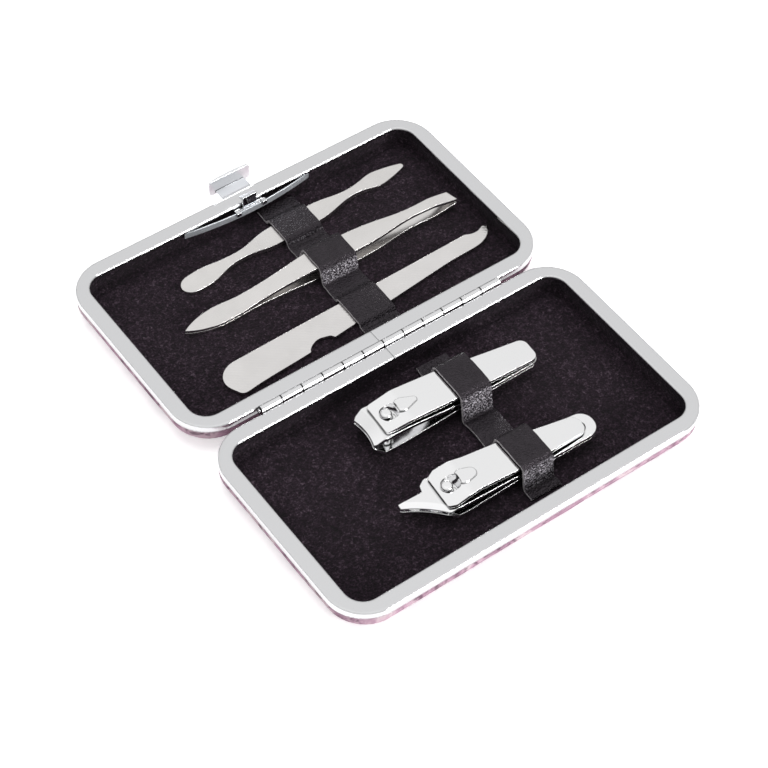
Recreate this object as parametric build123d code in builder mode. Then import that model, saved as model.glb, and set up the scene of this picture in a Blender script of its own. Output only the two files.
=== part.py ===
from build123d import *

import os
from math import cos, radians, sin, tan

# A manicure set case: two shallow halves in chromed rims, hinged along one long
# side and lying open, flat. Leather straps hold two nail clippers in the front
# half, and a cuticle pusher, tweezers and a nail file in the rear half.
#
# Axes: +X along the hinge, +Y towards the rear half with the clasp, +Z up.
# Origin: the middle of the open case's footprint, on the table. Millimetres.

# ---- chromed rims ----
rim_length = 115.0          # outer size along the hinge
rim_width = 66.6            # outer size across the hinge
rim_corner = 11.5           # outer corner radius
rim_land = 4.45             # width of the rim's flat top
opening_corner = 5.4        # corner radius of the opening inside the rim
rim_sheet = 0.5             # thickness of the metal strip
flange_height = 2.2         # outer turned-down edge
lip_height = 1.06           # inner turned-down edge
rim_edge_round = 0.45
lip_edge_round = 0.35
seam_width = 0.12           # butt joint of the strip's two ends
rim_gap = 0.4               # between the two rims when the case is closed

# ---- shells and linings ----
half_height = 8.2           # table to rim
skin_inset = 0.15           # skin's face behind the rim's face
skin_thickness = 0.7
bottom_round = 4.5
tray_wall = 1.2
tray_floor = 0.8
tray_round = 1.6            # inner bottom edge of the tray
lining_thickness = 0.6
lining_seam = 0.2           # between the lining's floor and its wall
fit_gap = 0.02              # between pieces that are glued or pressed together

# ---- hinge ----
hinge_length = 77.0
knuckle_count = 12
knuckle_gap = 0.12
barrel_radius = 1.0
pin_radius = 0.5
pin_gap = 0.03              # running clearance in the knuckles
pin_overhang = 0.5
leaf_sheet = 0.4
leaf_drop = 1.9             # rim's top to the leaf's lower edge
leaf_clearance = 1.15       # hinge axis to the plain part of a leaf
hinge_side_gap = 0.1        # barrel to rim

# ---- clasp ----
stem_width = 9.3
stem_sheet = 0.8
stem_drop = 1.25            # rim's top to the stem's top
stem_reach = 4.7            # rim's face to the cap
stem_tenon = 0.5            # stem's end let into the cap
cap_width = 13.3
cap_height = 5.2
cap_thickness = 1.0
cap_bulge = 0.45
cap_corner = 1.2
cap_drop = 2.4              # rim's top to the cap's lower edge
clasp_gap = 0.25            # around the moving stem
tongue_width = 4.4
tongue_sheet = 0.6
tongue_setback = 0.5        # lip to tongue
nose_reach = 0.9            # how far the nose goes behind the other rim's lip
nose_gap = 0.15             # nose to the lip that it catches
nose_height = 1.3
spring_length = 41.0
spring_sheet = 0.3
spring_height = 1.9
spring_bow = 2.0
spring_gap = 0.15           # lip's edge to the spring
tab_width = 1.4
tab_sheet = 0.4
tab_spacing = 8.4

# ---- straps: x and heights are the strip's middle and the tools' tops ----
strap_thickness = 0.8
strap_gap = 0.1             # leather over a tool
strap_side_gap = 0.5        # leather beside a tool
strap_bend = 0.9            # where a loop leaves the lining
strap_shoulder = 1.3        # where it turns over a tool
front_strap_x = 9.85        # where its middle would meet the hinge
front_strap_turn = 1.5      # degrees, towards +x as it runs towards the rear
front_strap_width = 9.5
front_strap_near = 3.25     # its end from the lip on the hinge side
front_strap_far = 3.85      # its other end from the opposite lip
rear_strap_x = 6.95
rear_strap_turn = 1.2
rear_strap_width = 11.7
rear_strap_near = 3.45
rear_strap_far = 0.75
large_strap_top = 8.7       # lining to the top of the tool under each loop
small_strap_top = 7.65
large_strap_lean = 1.5      # how far each loop's sides spread
small_strap_lean = 1.2
file_strap_lean = 0.5
tweezers_strap_lean = 1.5
pusher_strap_lean = 1.0
file_strap_plan = ((0.0, 4.35), (60.0, 4.35))    # half width under the strap
tweezers_strap_plan = ((0.0, 3.5), (60.0, 3.5))
pusher_strap_plan = ((0.0, 3.2), (60.0, 3.2))

# ---- nail clippers: s from the post to the tail, t across, h from the middle ----
blade_sheet = 1.1
lever_sheet = 1.0
arm_bend = 4.0              # where the blades start to come together
bend_radius = 15.0
edge_land = 0.4             # flat of the cutting edge
lever_front_corner = 1.0
bar_width = 1.5             # lever's bar in front of the post
bar_hold = 0.9              # depth of the notch that holds it
boss_height = 0.55
boss_round = 0.45
jaw_gap = 1.1
post_radius = 1.6
post_offset = 0.9           # the post's axis behind the frame's origin
post_gap = 0.2
post_head = 1.1             # above the lever's front bar
post_round = 0.9
bar_gap = 0.1               # lever's bar in the post's notch
window_length = 4.6
window_width = 4.6
rivet_radius = 1.3
rivet_head_radius = 2.0
rivet_head_height = 0.3
rivet_gap = 0.1

large_post = (-14.75, -20.73)
large_angle = -3.9
large_height = 3.45         # middle of the two blades above the lining
large_tilt = 1.2
large_depth = 3.25          # middle to the outside of the upper blade at the jaws
large_low_depth = 3.25      # and of the lower blade
large_open = 24.0           # where the two blades come together
large_rivet = 35.0
large_edge = (5.1, 0.0, 16.0, 2.9, 0.75)   # reach, turn, radius, width and rise of the jaw
large_blade_plan = ((-6.4, 4.2), (-5.0, 5.3), (-2.6, 5.8), (4.0, 5.6), (18.0, 5.3), (45.9, 3.7))
large_blade_near = tuple((s, -w) for s, w in large_blade_plan)
large_blade_corner = 2.2
large_lever_top = ((-1.9, 4.3), (5.6, 5.5), (19.0, 4.7), (45.7, 2.45))
large_lever_plan = ((-1.9, 5.1), (5.0, 5.5), (18.0, 5.25), (45.7, 3.6))
large_lever_corner = 2.2
large_boss = (5.6, 2.2, 9.3, 0.9)

small_post = (-15.1, -47.0)
small_angle = -5.1
small_height = 2.85
small_tilt = 2.0
small_depth = 2.1
small_low_depth = 2.45
small_open = 22.0
small_rivet = 33.5
small_edge = (5.5, 47.6, 30.0, 1.9, 1.05)
small_blade_plan = ((-11.6, 2.6), (-4.6, 2.8), (-4.1, 4.7), (-2.4, 5.9), (4.4, 5.9), (18.0, 5.0), (45.0, 3.7))
small_blade_near = ((-11.6, -4.8), (-3.6, -4.9), (-1.2, -6.0), (4.4, -6.0), (18.0, -5.2), (45.0, -3.7))
small_blade_corner = 3.65
small_lever_top = ((-1.7, 3.3), (4.6, 5.0), (18.0, 4.0), (41.4, 2.42))
small_lever_plan = ((-1.7, 5.0), (0.4, 6.0), (4.6, 5.8), (8.5, 5.3), (19.0, 5.0), (41.4, 2.8))
small_lever_corner = 2.5
small_boss = (5.6, 2.3, 7.8, 1.7)
small_hole_at = 40.4
small_hole_radius = 1.9

# ---- flat tools: s from the left end, half widths to both sides ----
tool_rest = 0.1             # metal over the nap of the lining
pusher_start = (-30.15, 49.97)
pusher_angle = 3.15
pusher_thickness = 1.6
pusher_length = 76.8
pusher_paddle = ((0.6, 1.65), (2.0, 2.7), (4.4, 3.1), (9.2, 2.95), (13.4, 1.95), (18.2, 1.35))
pusher_handle = ((23.0, 1.75), (27.5, 2.8), (32.0, 3.2), (44.8, 3.2), (49.3, 2.75), (53.6, 1.8), (58.6, 1.35))
pusher_spear = ((62.4, 1.85), (66.2, 2.7), (70.4, 2.3), (74.0, 1.5), (76.0, 0.9))
pusher_side = ((0.0, 0.8), (9.2, 1.0), (16.0, 1.6), (60.8, 1.6), (67.0, 1.1), (76.8, 0.7))   # s, thickness

tweezers_start = (-37.95, 36.42)
tweezers_angle = -1.5
tweezers_length = 87.2
tweezers_sheet = 0.9
tweezers_height = 5.2
tweezers_weld = 17.0
tweezers_far = (
    (2.2, 1.2), (5.0, 2.2), (9.5, 3.0), (18.0, 2.7), (29.0, 2.6), (38.0, 3.1),
    (52.0, 3.5), (62.0, 2.8), (71.0, 1.6), (79.0, 1.65),
)
tip_length = 7.5            # bent towards the other arm
tip_width = 3.6
tip_slant = 17.0            # degrees
tip_gap = 0.5

file_start = (-39.05, 15.52)
file_angle = 0.94
file_thickness = 1.0
file_end = ((6.4, 5.3), (3.5, 4.7), (1.1, 2.8), (0.25, -0.7), (1.4, -3.6), (4.4, -5.2))
file_belly = ((9.3, -4.75), (17.5, -4.4), (24.6, -4.05))
file_notch = ((25.7, -2.7), (27.4, -1.8), (29.3, -1.55), (31.3, -2.1), (32.9, -3.5))
file_edge = (74.0, -0.1)    # where its straight edge ends
file_hook = ((81.0, 0.0), (86.0, 0.5), (88.2, 1.5), (89.8, 2.9), (90.5, 4.4))
file_tip = ((90.1, 5.1), (89.4, 5.15))
file_middle = 1.0           # middle of its width from its axis under the strap
file_hollow = ((88.4, 4.75), (86.7, 4.4), (85.0, 4.65), (83.4, 5.35))

# ---- heights and places that follow ----
gap_half = hinge_side_gap + barrel_radius
clasp_reach = stem_reach + cap_thickness
hinge_y = -clasp_reach / 2
rim_z = half_height
axis_z = rim_z + rim_gap / 2
centre_out = gap_half + rim_width / 2
rim_out = gap_half + rim_width
lip_out = rim_out - rim_land
opening_length = rim_length - 2 * rim_land
opening_width = rim_width - 2 * rim_land
tray_inset = skin_inset + skin_thickness
wall_inset = tray_inset + tray_wall
lining_z = skin_thickness + tray_floor
floor_z = lining_z + lining_thickness

FRONT = -1
REAR = 1

os.makedirs("parts", exist_ok=True)


def save(piece, name):
    piece.part.label = name
    export_step(piece.part, f"parts/{name}.step")


def half_plane(side, z):
    """A level plane at the middle of one half; its y runs away from the hinge."""
    return Plane(origin=(0, hinge_y + side * centre_out, z), x_dir=(side, 0, 0), z_dir=(0, 0, 1))


def outline(inset, mode=Mode.ADD):
    """The rim's outer outline, moved inwards."""
    return RectangleRounded(rim_length - 2 * inset, rim_width - 2 * inset, rim_corner - inset, mode=mode)


def opening(outset, mode=Mode.ADD):
    """The opening inside the rim, moved outwards."""
    return RectangleRounded(
        opening_length + 2 * outset, opening_width + 2 * outset, opening_corner + outset, mode=mode
    )


# ---------------------------------------------------------------- the two halves
def make_frame(name, side):
    """Chromed strip bent to a channel: land, outer flange and inner lip."""
    with BuildPart() as frame:
        with BuildSketch(half_plane(side, rim_z)):
            outline(0)
            opening(0, mode=Mode.SUBTRACT)
        extrude(amount=-flange_height)
        land = frame.faces().sort_by(Axis.Z)[-1]
        fillet(land.outer_wire().edges(), rim_edge_round)
        land = frame.faces().sort_by(Axis.Z)[-1]
        fillet(land.inner_wires()[0].edges(), lip_edge_round)
        with BuildSketch(half_plane(side, rim_z - rim_sheet)):
            outline(rim_sheet)
            opening(rim_sheet, mode=Mode.SUBTRACT)
        extrude(amount=-flange_height, mode=Mode.SUBTRACT)
        with BuildSketch(half_plane(side, rim_z - lip_height)):
            opening(rim_sheet)
        extrude(amount=-flange_height, mode=Mode.SUBTRACT)
        with BuildSketch(half_plane(side, rim_z)):
            with Locations((0, (rim_land - rim_width) / 2)):
                Rectangle(seam_width, 2 * rim_land)
        extrude(amount=-2 * flange_height, both=True, mode=Mode.SUBTRACT)
        if side == REAR:
            add(stem_way(), mode=Mode.SUBTRACT)
    save(frame, name)


def stem_way():
    """Space for the clasp's stem through the rear walls, open at its lower edge."""
    with BuildPart() as way:
        with BuildSketch(half_plane(REAR, rim_z - stem_drop + clasp_gap)):
            with Locations((0, rim_width / 2)):
                Rectangle(stem_width + 2 * clasp_gap, 4 * rim_land)
        extrude(amount=-(stem_sheet + 2 * clasp_gap))
    return way.part


def basin(side, z, inset, edge_round):
    """The space inside a shell: straight walls and a rounded bottom edge."""
    with BuildPart() as space:
        with BuildSketch(half_plane(side, z)):
            outline(inset)
        extrude(amount=half_height)
        fillet(space.faces().sort_by(Axis.Z)[0].edges(), edge_round)
    return space.part


def make_skin(name, side):
    """Covering of the shell, with a thin hem tucked up behind the flange."""
    hem_inset = rim_sheet + fit_gap
    with BuildPart() as skin:
        with BuildSketch(half_plane(side, 0)):
            outline(skin_inset)
        extrude(amount=rim_z - flange_height - fit_gap)
        fillet(skin.faces().sort_by(Axis.Z)[0].edges(), bottom_round)
        with BuildSketch(half_plane(side, rim_z - flange_height - skin_thickness)):
            outline(hem_inset)
        extrude(amount=flange_height + skin_thickness - rim_sheet - 5 * fit_gap)
        add(basin(side, skin_thickness, tray_inset, bottom_round - skin_thickness), mode=Mode.SUBTRACT)
        if side == REAR:
            add(stem_way(), mode=Mode.SUBTRACT)
    save(skin, name)


def make_tray(name, side):
    """Stiff board tray inside the skin."""
    outer = tray_inset + fit_gap
    with BuildPart() as tray:
        with BuildSketch(half_plane(side, skin_thickness + fit_gap)):
            outline(outer)
        extrude(amount=rim_z - rim_sheet - skin_thickness - 2 * fit_gap)
        fillet(tray.faces().sort_by(Axis.Z)[0].edges(), bottom_round - skin_thickness)
        add(basin(side, lining_z, wall_inset, tray_round), mode=Mode.SUBTRACT)
        if side == REAR:
            add(stem_way(), mode=Mode.SUBTRACT)
    save(tray, name)


def make_lining_wall(name, side):
    """Padded band round the inside, up to the underside of the land."""
    face = rim_sheet + fit_gap
    with BuildPart() as wall:
        with BuildSketch(half_plane(side, lining_z + fit_gap)):
            outline(wall_inset + fit_gap)
        extrude(amount=rim_z - rim_sheet - lining_z - 2 * fit_gap)
        fillet(wall.faces().sort_by(Axis.Z)[0].edges(), tray_round)
        with BuildSketch(half_plane(side, 0)):
            opening(face)
        extrude(amount=half_height, mode=Mode.SUBTRACT)
        if side == REAR:
            add(stem_way(), mode=Mode.SUBTRACT)
            # room behind the lip for the leaf spring's ends
            with BuildSketch(half_plane(side, rim_z - rim_sheet)):
                with Locations((0, opening_width / 2)):
                    Rectangle(spring_length + 2 * spring_gap, 2 * (rim_sheet + spring_sheet))
            depth = lip_height + 2 * spring_gap + spring_height - rim_sheet
            extrude(amount=-depth, mode=Mode.SUBTRACT)
        else:
            # room behind the lip for the clasp's nose
            with BuildSketch(half_plane(side, rim_z - rim_sheet)):
                with Locations((0, opening_width / 2)):
                    Rectangle(tongue_width + 4 * clasp_gap, 2 * (nose_reach + 2 * clasp_gap))
            depth = lip_height + nose_gap + nose_height + clasp_gap - rim_sheet
            extrude(amount=-depth, mode=Mode.SUBTRACT)
    save(wall, name)


def make_lining_floor(name, side):
    with BuildPart() as pad:
        with BuildSketch(half_plane(side, lining_z + fit_gap)):
            opening(rim_sheet + fit_gap - lining_seam)
        extrude(amount=lining_thickness - fit_gap)
    save(pad, name)


# ---------------------------------------------------------------- hinge
pitch = (hinge_length + knuckle_gap) / knuckle_count


def make_leaf(name, side, first):
    """One leaf with every second knuckle rolled from it."""
    web_out = gap_half - fit_gap
    web_in = web_out - leaf_sheet
    with BuildPart() as leaf:
        with BuildSketch(Plane.YZ.offset(-hinge_length / 2)):
            top = axis_z - leaf_clearance
            bottom = rim_z - leaf_drop
            with Locations((hinge_y + side * (web_in + web_out) / 2, (top + bottom) / 2)):
                Rectangle(leaf_sheet, top - bottom)
        extrude(amount=hinge_length)
        for index in range(first, knuckle_count, 2):
            with BuildSketch(Plane.YZ.offset(-hinge_length / 2 + index * pitch)):
                with Locations((hinge_y, axis_z)):
                    Circle(barrel_radius)
                with Locations((hinge_y + side * (web_in + web_out) / 2, axis_z - leaf_clearance / 2)):
                    Rectangle(leaf_sheet, leaf_clearance)
            extrude(amount=pitch - knuckle_gap)
        with BuildSketch(Plane.YZ.offset(-hinge_length / 2)):
            with Locations((hinge_y, axis_z)):
                Circle(pin_radius + pin_gap)
        extrude(amount=hinge_length, mode=Mode.SUBTRACT)
    save(leaf, name)


def make_pin():
    with BuildPart() as pin:
        with BuildSketch(Plane.YZ.offset(-hinge_length / 2 - pin_overhang)):
            with Locations((hinge_y, axis_z)):
                Circle(pin_radius)
        extrude(amount=hinge_length + 2 * pin_overhang)
        chamfer(pin.edges().filter_by(GeomType.CIRCLE), pin_radius / 4)
    save(pin, "hinge_pin")


# ---------------------------------------------------------------- clasp
stem_top = rim_z - stem_drop
stem_bottom = stem_top - stem_sheet
spring_top = rim_z - lip_height - spring_gap
spring_face = lip_out + rim_sheet - spring_bow      # outer face at its middle
stem_end = spring_face + spring_gap
cap_in = rim_out + stem_reach


def make_clasp_stem():
    """Stamped slide: plate through the rim, catch tongue with its nose, two tabs."""
    tongue_out = lip_out - tongue_setback
    tongue_in = tongue_out - tongue_sheet
    nose_low = rim_z + rim_gap + lip_height + nose_gap
    nose_top = nose_low + nose_height
    with BuildPart() as stem:
        with BuildSketch(Plane.XY.offset(stem_bottom)):
            with Locations((0, hinge_y + (stem_end + cap_in + stem_tenon) / 2)):
                Rectangle(stem_width, cap_in + stem_tenon - stem_end)
        extrude(amount=stem_sheet)
        with BuildSketch(Plane.YZ):
            with BuildLine():
                Polyline(
                    (hinge_y + tongue_in, stem_bottom),
                    (hinge_y + tongue_in, nose_top),
                    (hinge_y + tongue_out, nose_top),
                    (hinge_y + lip_out + nose_reach, nose_low + nose_height / 3),
                    (hinge_y + lip_out + nose_reach, nose_low),
                    (hinge_y + tongue_out, nose_low),
                    (hinge_y + tongue_out, stem_bottom),
                    close=True,
                )
            make_face()
        extrude(amount=tongue_width / 2, both=True)
        for x in (-tab_spacing / 2, tab_spacing / 2):
            with BuildSketch(Plane.YZ.offset(x)):
                tab_low = spring_top + 3 * fit_gap
                tab_front = spring_face - spring_sheet - spring_gap / 2
                with BuildLine():
                    Polyline(
                        (hinge_y + stem_end, stem_bottom),
                        (hinge_y + stem_end, tab_low),
                        (hinge_y + tab_front, tab_low),
                        (hinge_y + tab_front, stem_bottom),
                        (hinge_y + tab_front - tab_sheet, stem_bottom),
                        (hinge_y + tab_front - tab_sheet, tab_low + tab_sheet),
                        (hinge_y + stem_end + tab_sheet, tab_low + tab_sheet),
                        (hinge_y + stem_end + tab_sheet, stem_bottom),
                        close=True,
                    )
                make_face()
            extrude(amount=tab_width / 2, both=True)
    save(stem, "clasp_stem")


def make_clasp_cap():
    """Domed thumb piece, with a slot for the stem's end."""
    low = rim_z - cap_drop
    with BuildPart() as cap:
        with BuildSketch(Plane.XY.offset(low)):
            with BuildLine():
                start = (-cap_width / 2, hinge_y + cap_in + cap_thickness - cap_bulge)
                end = (cap_width / 2, hinge_y + cap_in + cap_thickness - cap_bulge)
                ThreePointArc(start, (0, hinge_y + cap_in + cap_thickness), end)
                Polyline(end, (cap_width / 2, hinge_y + cap_in), (-cap_width / 2, hinge_y + cap_in), start)
            make_face()
        extrude(amount=cap_height)
        with BuildSketch(Plane.XZ.offset(-hinge_y - cap_in)):
            with Locations((0, low + cap_height / 2)):
                RectangleRounded(cap_width, cap_height, cap_corner)
        extrude(amount=-2 * cap_thickness, mode=Mode.INTERSECT)
        outer = cap.faces().sort_by(Axis.Y)[-1]
        fillet(outer.edges(), cap_thickness / 4)
        with BuildSketch(Plane.XZ.offset(-hinge_y - cap_in)):
            with Locations((0, (stem_top + stem_bottom) / 2)):
                Rectangle(stem_width + 2 * fit_gap, stem_sheet + 2 * fit_gap)
        extrude(amount=-(stem_tenon + fit_gap), mode=Mode.SUBTRACT)
    save(cap, "clasp_cap")


def make_clasp_spring():
    """Bowed leaf: its ends bear behind the lip, its middle on the stem."""
    with BuildPart() as spring:
        with BuildSketch(Plane.XY.offset(spring_top - spring_height)):
            with BuildLine():
                ThreePointArc(
                    (-spring_length / 2, hinge_y + spring_face + spring_bow),
                    (0, hinge_y + spring_face),
                    (spring_length / 2, hinge_y + spring_face + spring_bow),
                )
                offset(amount=spring_sheet, side=Side.RIGHT)
            make_face()
        extrude(amount=spring_height)
    save(spring, "clasp_spring")


# ---------------------------------------------------------------- tools: frames
def tool_plane(start, angle, height, tilt=0.0):
    """Plane along a tool: x towards its far end, y across it, z up."""
    along = Vector(
        cos(radians(angle)) * cos(radians(tilt)),
        sin(radians(angle)) * cos(radians(tilt)),
        sin(radians(tilt)),
    )
    across = Vector(-sin(radians(angle)), cos(radians(angle)), 0)
    origin = (start[0], hinge_y + start[1], floor_z + height)
    return Plane(origin=origin, x_dir=along, z_dir=along.cross(across))


def side_plane(plane):
    """The plane's lengthwise section: x along the tool, y up."""
    return Plane(origin=plane.origin, x_dir=plane.x_dir, z_dir=-plane.y_dir)


def mirrored(points):
    """Closed outline from one side's points, mirrored about the x axis."""
    return [*points, *[(x, -y) for x, y in reversed(points)]]


def width_at(plan, s):
    """Half width of a straight-sided plan at a place along it."""
    for (s0, w0), (s1, w1) in zip(plan, plan[1:]):
        if s0 <= s <= s1:
            return w0 + (w1 - w0) * (s - s0) / (s1 - s0)
    return max(w for _, w in plan)


# ---------------------------------------------------------------- clippers
def make_clipper(size, plane, depths, line, edge, plans, corners, lever_top, boss):
    """The five pieces of a nail clipper, in its own plane along the middle of the blades."""
    upper_depth, lower_depth = depths
    open_at, rivet_at = line
    far_plan, near_plan, lever_plan = plans
    plan = [*far_plan, *reversed(near_plan)]
    blade_corner, lever_corner = corners
    parted = fit_gap + jaw_gap * (rivet_at - open_at) / (rivet_at + edge[0])
    make_blade(f"{size}_lower_blade", plane, -1, lower_depth, line, parted, edge, plan, blade_corner)
    make_blade(f"{size}_upper_blade", plane, 1, upper_depth, line, parted, edge, plan, blade_corner)
    make_rivet(f"{size}_rivet", plane, rivet_at)
    make_post(f"{size}_post", plane, lower_depth, lever_top)
    make_lever(f"{size}_lever", plane, lever_top, lever_plan, lever_corner, boss)


def make_blade(name, plane, up, depth, line, parted, edge, plan, corner):
    """One blade: a sprung arm, and a jaw turned in to the cutting edge."""
    open_at, rivet_at = line
    reach, turn, radius, jaw, rise = edge
    inner = depth - blade_sheet
    nose = plan[0][0] - blade_sheet
    tail = max(s for s, _ in plan)
    half = fit_gap / 2
    cutting = rise + up * jaw_gap / 2
    # the upper blade moves round the post and the rivet, the lower one is tight
    post_room = post_gap if up > 0 else fit_gap
    rivet_room = rivet_gap if up > 0 else fit_gap
    front = plane.from_local_coords(
        Vector(-(reach + radius) * cos(radians(turn)), -(reach + radius) * sin(radians(turn)), 0)
    )
    away = (plane.origin - front).normalized()
    with BuildPart() as blade:
        with BuildSketch(side_plane(plane)) as arm:
            with BuildLine():
                Polyline(
                    (nose, up * depth),
                    (arm_bend, up * depth),
                    (open_at, up * (parted / 2 + blade_sheet)),
                    (rivet_at, up * (half + blade_sheet)),
                    (tail, up * (half + blade_sheet)),
                    (tail, up * half),
                    (rivet_at, up * half),
                    (open_at, up * parted / 2),
                    (arm_bend, up * inner),
                    (nose, up * inner),
                    close=True,
                )
            make_face()
            fillet(arm.vertices().filter_by_position(Axis.X, arm_bend - 1, open_at + 1), bend_radius)
        extrude(amount=2 * post_radius + tail / 4, both=True)
        # the jaw is part of a ring about an axis in front of the cutting edge
        with BuildSketch(Plane(origin=front, z_dir=plane.z_dir)):
            Circle(radius + jaw)
        extrude(amount=2 * depth, both=True, mode=Mode.SUBTRACT)
        with BuildSketch(Plane(origin=front, x_dir=away, z_dir=away.cross(plane.z_dir))):
            with BuildLine():
                Polyline(
                    (radius, cutting),
                    (radius + jaw, up * depth),
                    (radius + jaw + blade_sheet, up * depth),
                    (radius + jaw + blade_sheet, up * inner),
                    (radius + jaw + edge_land, up * inner),
                    (radius + edge_land, cutting),
                    close=True,
                )
            make_face()
        revolve(axis=Axis(front, plane.z_dir))
        with BuildSketch(plane) as shape:
            with BuildLine():
                Polyline(*plan, close=True)
            make_face()
            fillet(shape.vertices().sort_by(Axis.X)[-2:], corner)
        extrude(amount=2 * depth, both=True, mode=Mode.INTERSECT)
        with BuildSketch(plane):
            with Locations((post_offset, 0)):
                Circle(post_radius + post_room)
            with Locations((rivet_at, 0)):
                Circle(rivet_radius + rivet_room)
        extrude(amount=2 * depth, both=True, mode=Mode.SUBTRACT)
        if name.startswith("small"):
            with BuildSketch(plane):
                with Locations((small_hole_at, 0)):
                    Circle(small_hole_radius)
            extrude(amount=2 * depth, both=True, mode=Mode.SUBTRACT)
    save(blade, name)


def make_rivet(name, plane, rivet_at):
    height = blade_sheet + fit_gap / 2
    with BuildPart() as rivet:
        with BuildSketch(plane):
            with Locations((rivet_at, 0)):
                Circle(rivet_radius)
        extrude(amount=height + rivet_gap, both=True)
        for offset_by, up in ((height + rivet_gap, 1), (-height - fit_gap, -1)):
            with BuildSketch(plane.offset(offset_by)):
                with Locations((rivet_at, 0)):
                    Circle(rivet_head_radius)
            extrude(amount=up * rivet_head_height)
    save(rivet, name)


def make_post(name, plane, depth, lever_top):
    """Turned post through both blades; its notch holds the lever's front bar."""
    (front_at, front_top), (crest_at, crest_top) = lever_top[:2]
    bar_top = front_top - front_at * (crest_top - front_top) / (crest_at - front_at)
    with BuildPart() as post:
        with BuildSketch(plane.offset(-depth)):
            with Locations((post_offset, 0)):
                Circle(post_radius)
        extrude(amount=depth + bar_top + post_head)
        fillet(post.edges().filter_by(GeomType.CIRCLE).sort_by(Axis.Z)[-1], post_round)
        with BuildSketch(plane.offset(bar_top + bar_gap)):
            with Locations((post_offset - post_radius, 0)):
                Rectangle(2 * bar_hold, 4 * post_radius)
        extrude(amount=-(lever_sheet + 4 * bar_gap), mode=Mode.SUBTRACT)
    save(post, name)


def make_lever(name, plane, top, plan, corner, boss):
    """Bent sheet lever, lying folded along the blades, with its fulcrum boss up."""
    tail = top[-1][0]
    along = plane.x_dir * (top[2][0] - top[1][0]) + plane.z_dir * (top[2][1] - top[1][1])
    crest = plane.from_local_coords(Vector(top[1][0], 0, top[1][1]))
    with BuildPart() as lever:
        with BuildSketch(side_plane(plane)):
            with BuildLine():
                FilletPolyline(*top, radius=bend_radius / 2)
                offset(amount=lever_sheet, side=Side.RIGHT)
            make_face()
        extrude(amount=2 * lever_sheet + tail / 4, both=True)
        with BuildSketch(plane) as shape:
            with BuildLine():
                Polyline(*mirrored(plan), close=True)
            make_face()
            fillet(shape.vertices().sort_by(Axis.X)[-2:], corner)
            fillet(shape.vertices().sort_by(Axis.X)[:2], lever_front_corner)
        extrude(amount=4 * top[1][1], both=True, mode=Mode.INTERSECT)
        with BuildSketch(Plane(origin=crest, x_dir=along, z_dir=along.cross(plane.y_dir))):
            front_at, front_radius, back_at, back_radius = boss
            with Locations((front_at - top[1][0], 0)):
                Circle(front_radius)
            with Locations((back_at - top[1][0], 0)):
                Circle(back_radius)
            make_hull()
        extrude(amount=boss_height)
        fillet(lever.faces().sort_by(Axis.Z)[-1].edges(), boss_round)
        with BuildSketch(plane):
            with Locations((top[0][0] + bar_width + window_length / 2, 0)):
                RectangleRounded(window_length, window_width, window_width / 3)
        extrude(amount=4 * top[1][1], mode=Mode.SUBTRACT)
    save(lever, name)


# ---------------------------------------------------------------- flat tools
def make_pusher(plane):
    """Cuticle pusher: paddle, waist, flat handle, waist and spear, thinner at both ends."""
    far_side = [*pusher_paddle, *pusher_handle, *pusher_spear]
    with BuildPart() as pusher:
        with BuildSketch(plane):
            with BuildLine():
                far = Spline(*far_side)
                near = Spline(*[(s, -w) for s, w in far_side])
                ThreePointArc(far @ 0, (0, 0), near @ 0)
                ThreePointArc(far @ 1, (pusher_length, 0), near @ 1)
            make_face()
        extrude(amount=pusher_thickness)
        with BuildSketch(side_plane(plane)):
            with BuildLine():
                Polyline(*pusher_side, (pusher_length, -pusher_thickness), (0, -pusher_thickness), close=True)
            make_face()
        extrude(amount=pusher_length / 4, both=True, mode=Mode.INTERSECT)
    save(pusher, "cuticle_pusher")


def tweezers_outline():
    """Leaf-shaped plan: pointed welded end, waist, finger grips, slanted tips."""
    far_end = tweezers_length - tip_width * tan(radians(tip_slant))
    with BuildLine() as edge:
        far = Spline((0, 0), *tweezers_far, (far_end, tip_width / 2))
        near = Spline((0, 0), *[(s, -w) for s, w in tweezers_far], (tweezers_length, -tip_width / 2))
        Line(far @ 1, near @ 1)
    make_face(edge.edges())


def make_tweezers(plane):
    """Two sprung arms, welded at the pointed end and bent together at the tips."""
    rise = tweezers_height - tweezers_sheet
    bend = tweezers_length - tip_length
    past = tweezers_length + tip_length
    closing = rise - tweezers_sheet - tip_gap
    weld_top = tweezers_sheet + fit_gap
    arms = {
        "tweezers_lower_arm": [(-tip_length, 0), (bend, 0), (past, closing)],
        "tweezers_upper_arm": [
            (-tip_length, weld_top),
            (tweezers_weld, weld_top),
            (tweezers_length * 0.45, rise),
            (bend, rise),
            (past, rise - closing),
        ],
    }
    for name, path in arms.items():
        with BuildPart() as arm:
            with BuildSketch(side_plane(plane)):
                with BuildLine():
                    FilletPolyline(*path, radius=2 * tweezers_height)
                    offset(amount=tweezers_sheet, side=Side.LEFT)
                make_face()
            extrude(amount=2 * tweezers_height, both=True)
            with BuildSketch(plane):
                tweezers_outline()
            extrude(amount=2 * tweezers_height, both=True, mode=Mode.INTERSECT)
        save(arm, name)


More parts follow.
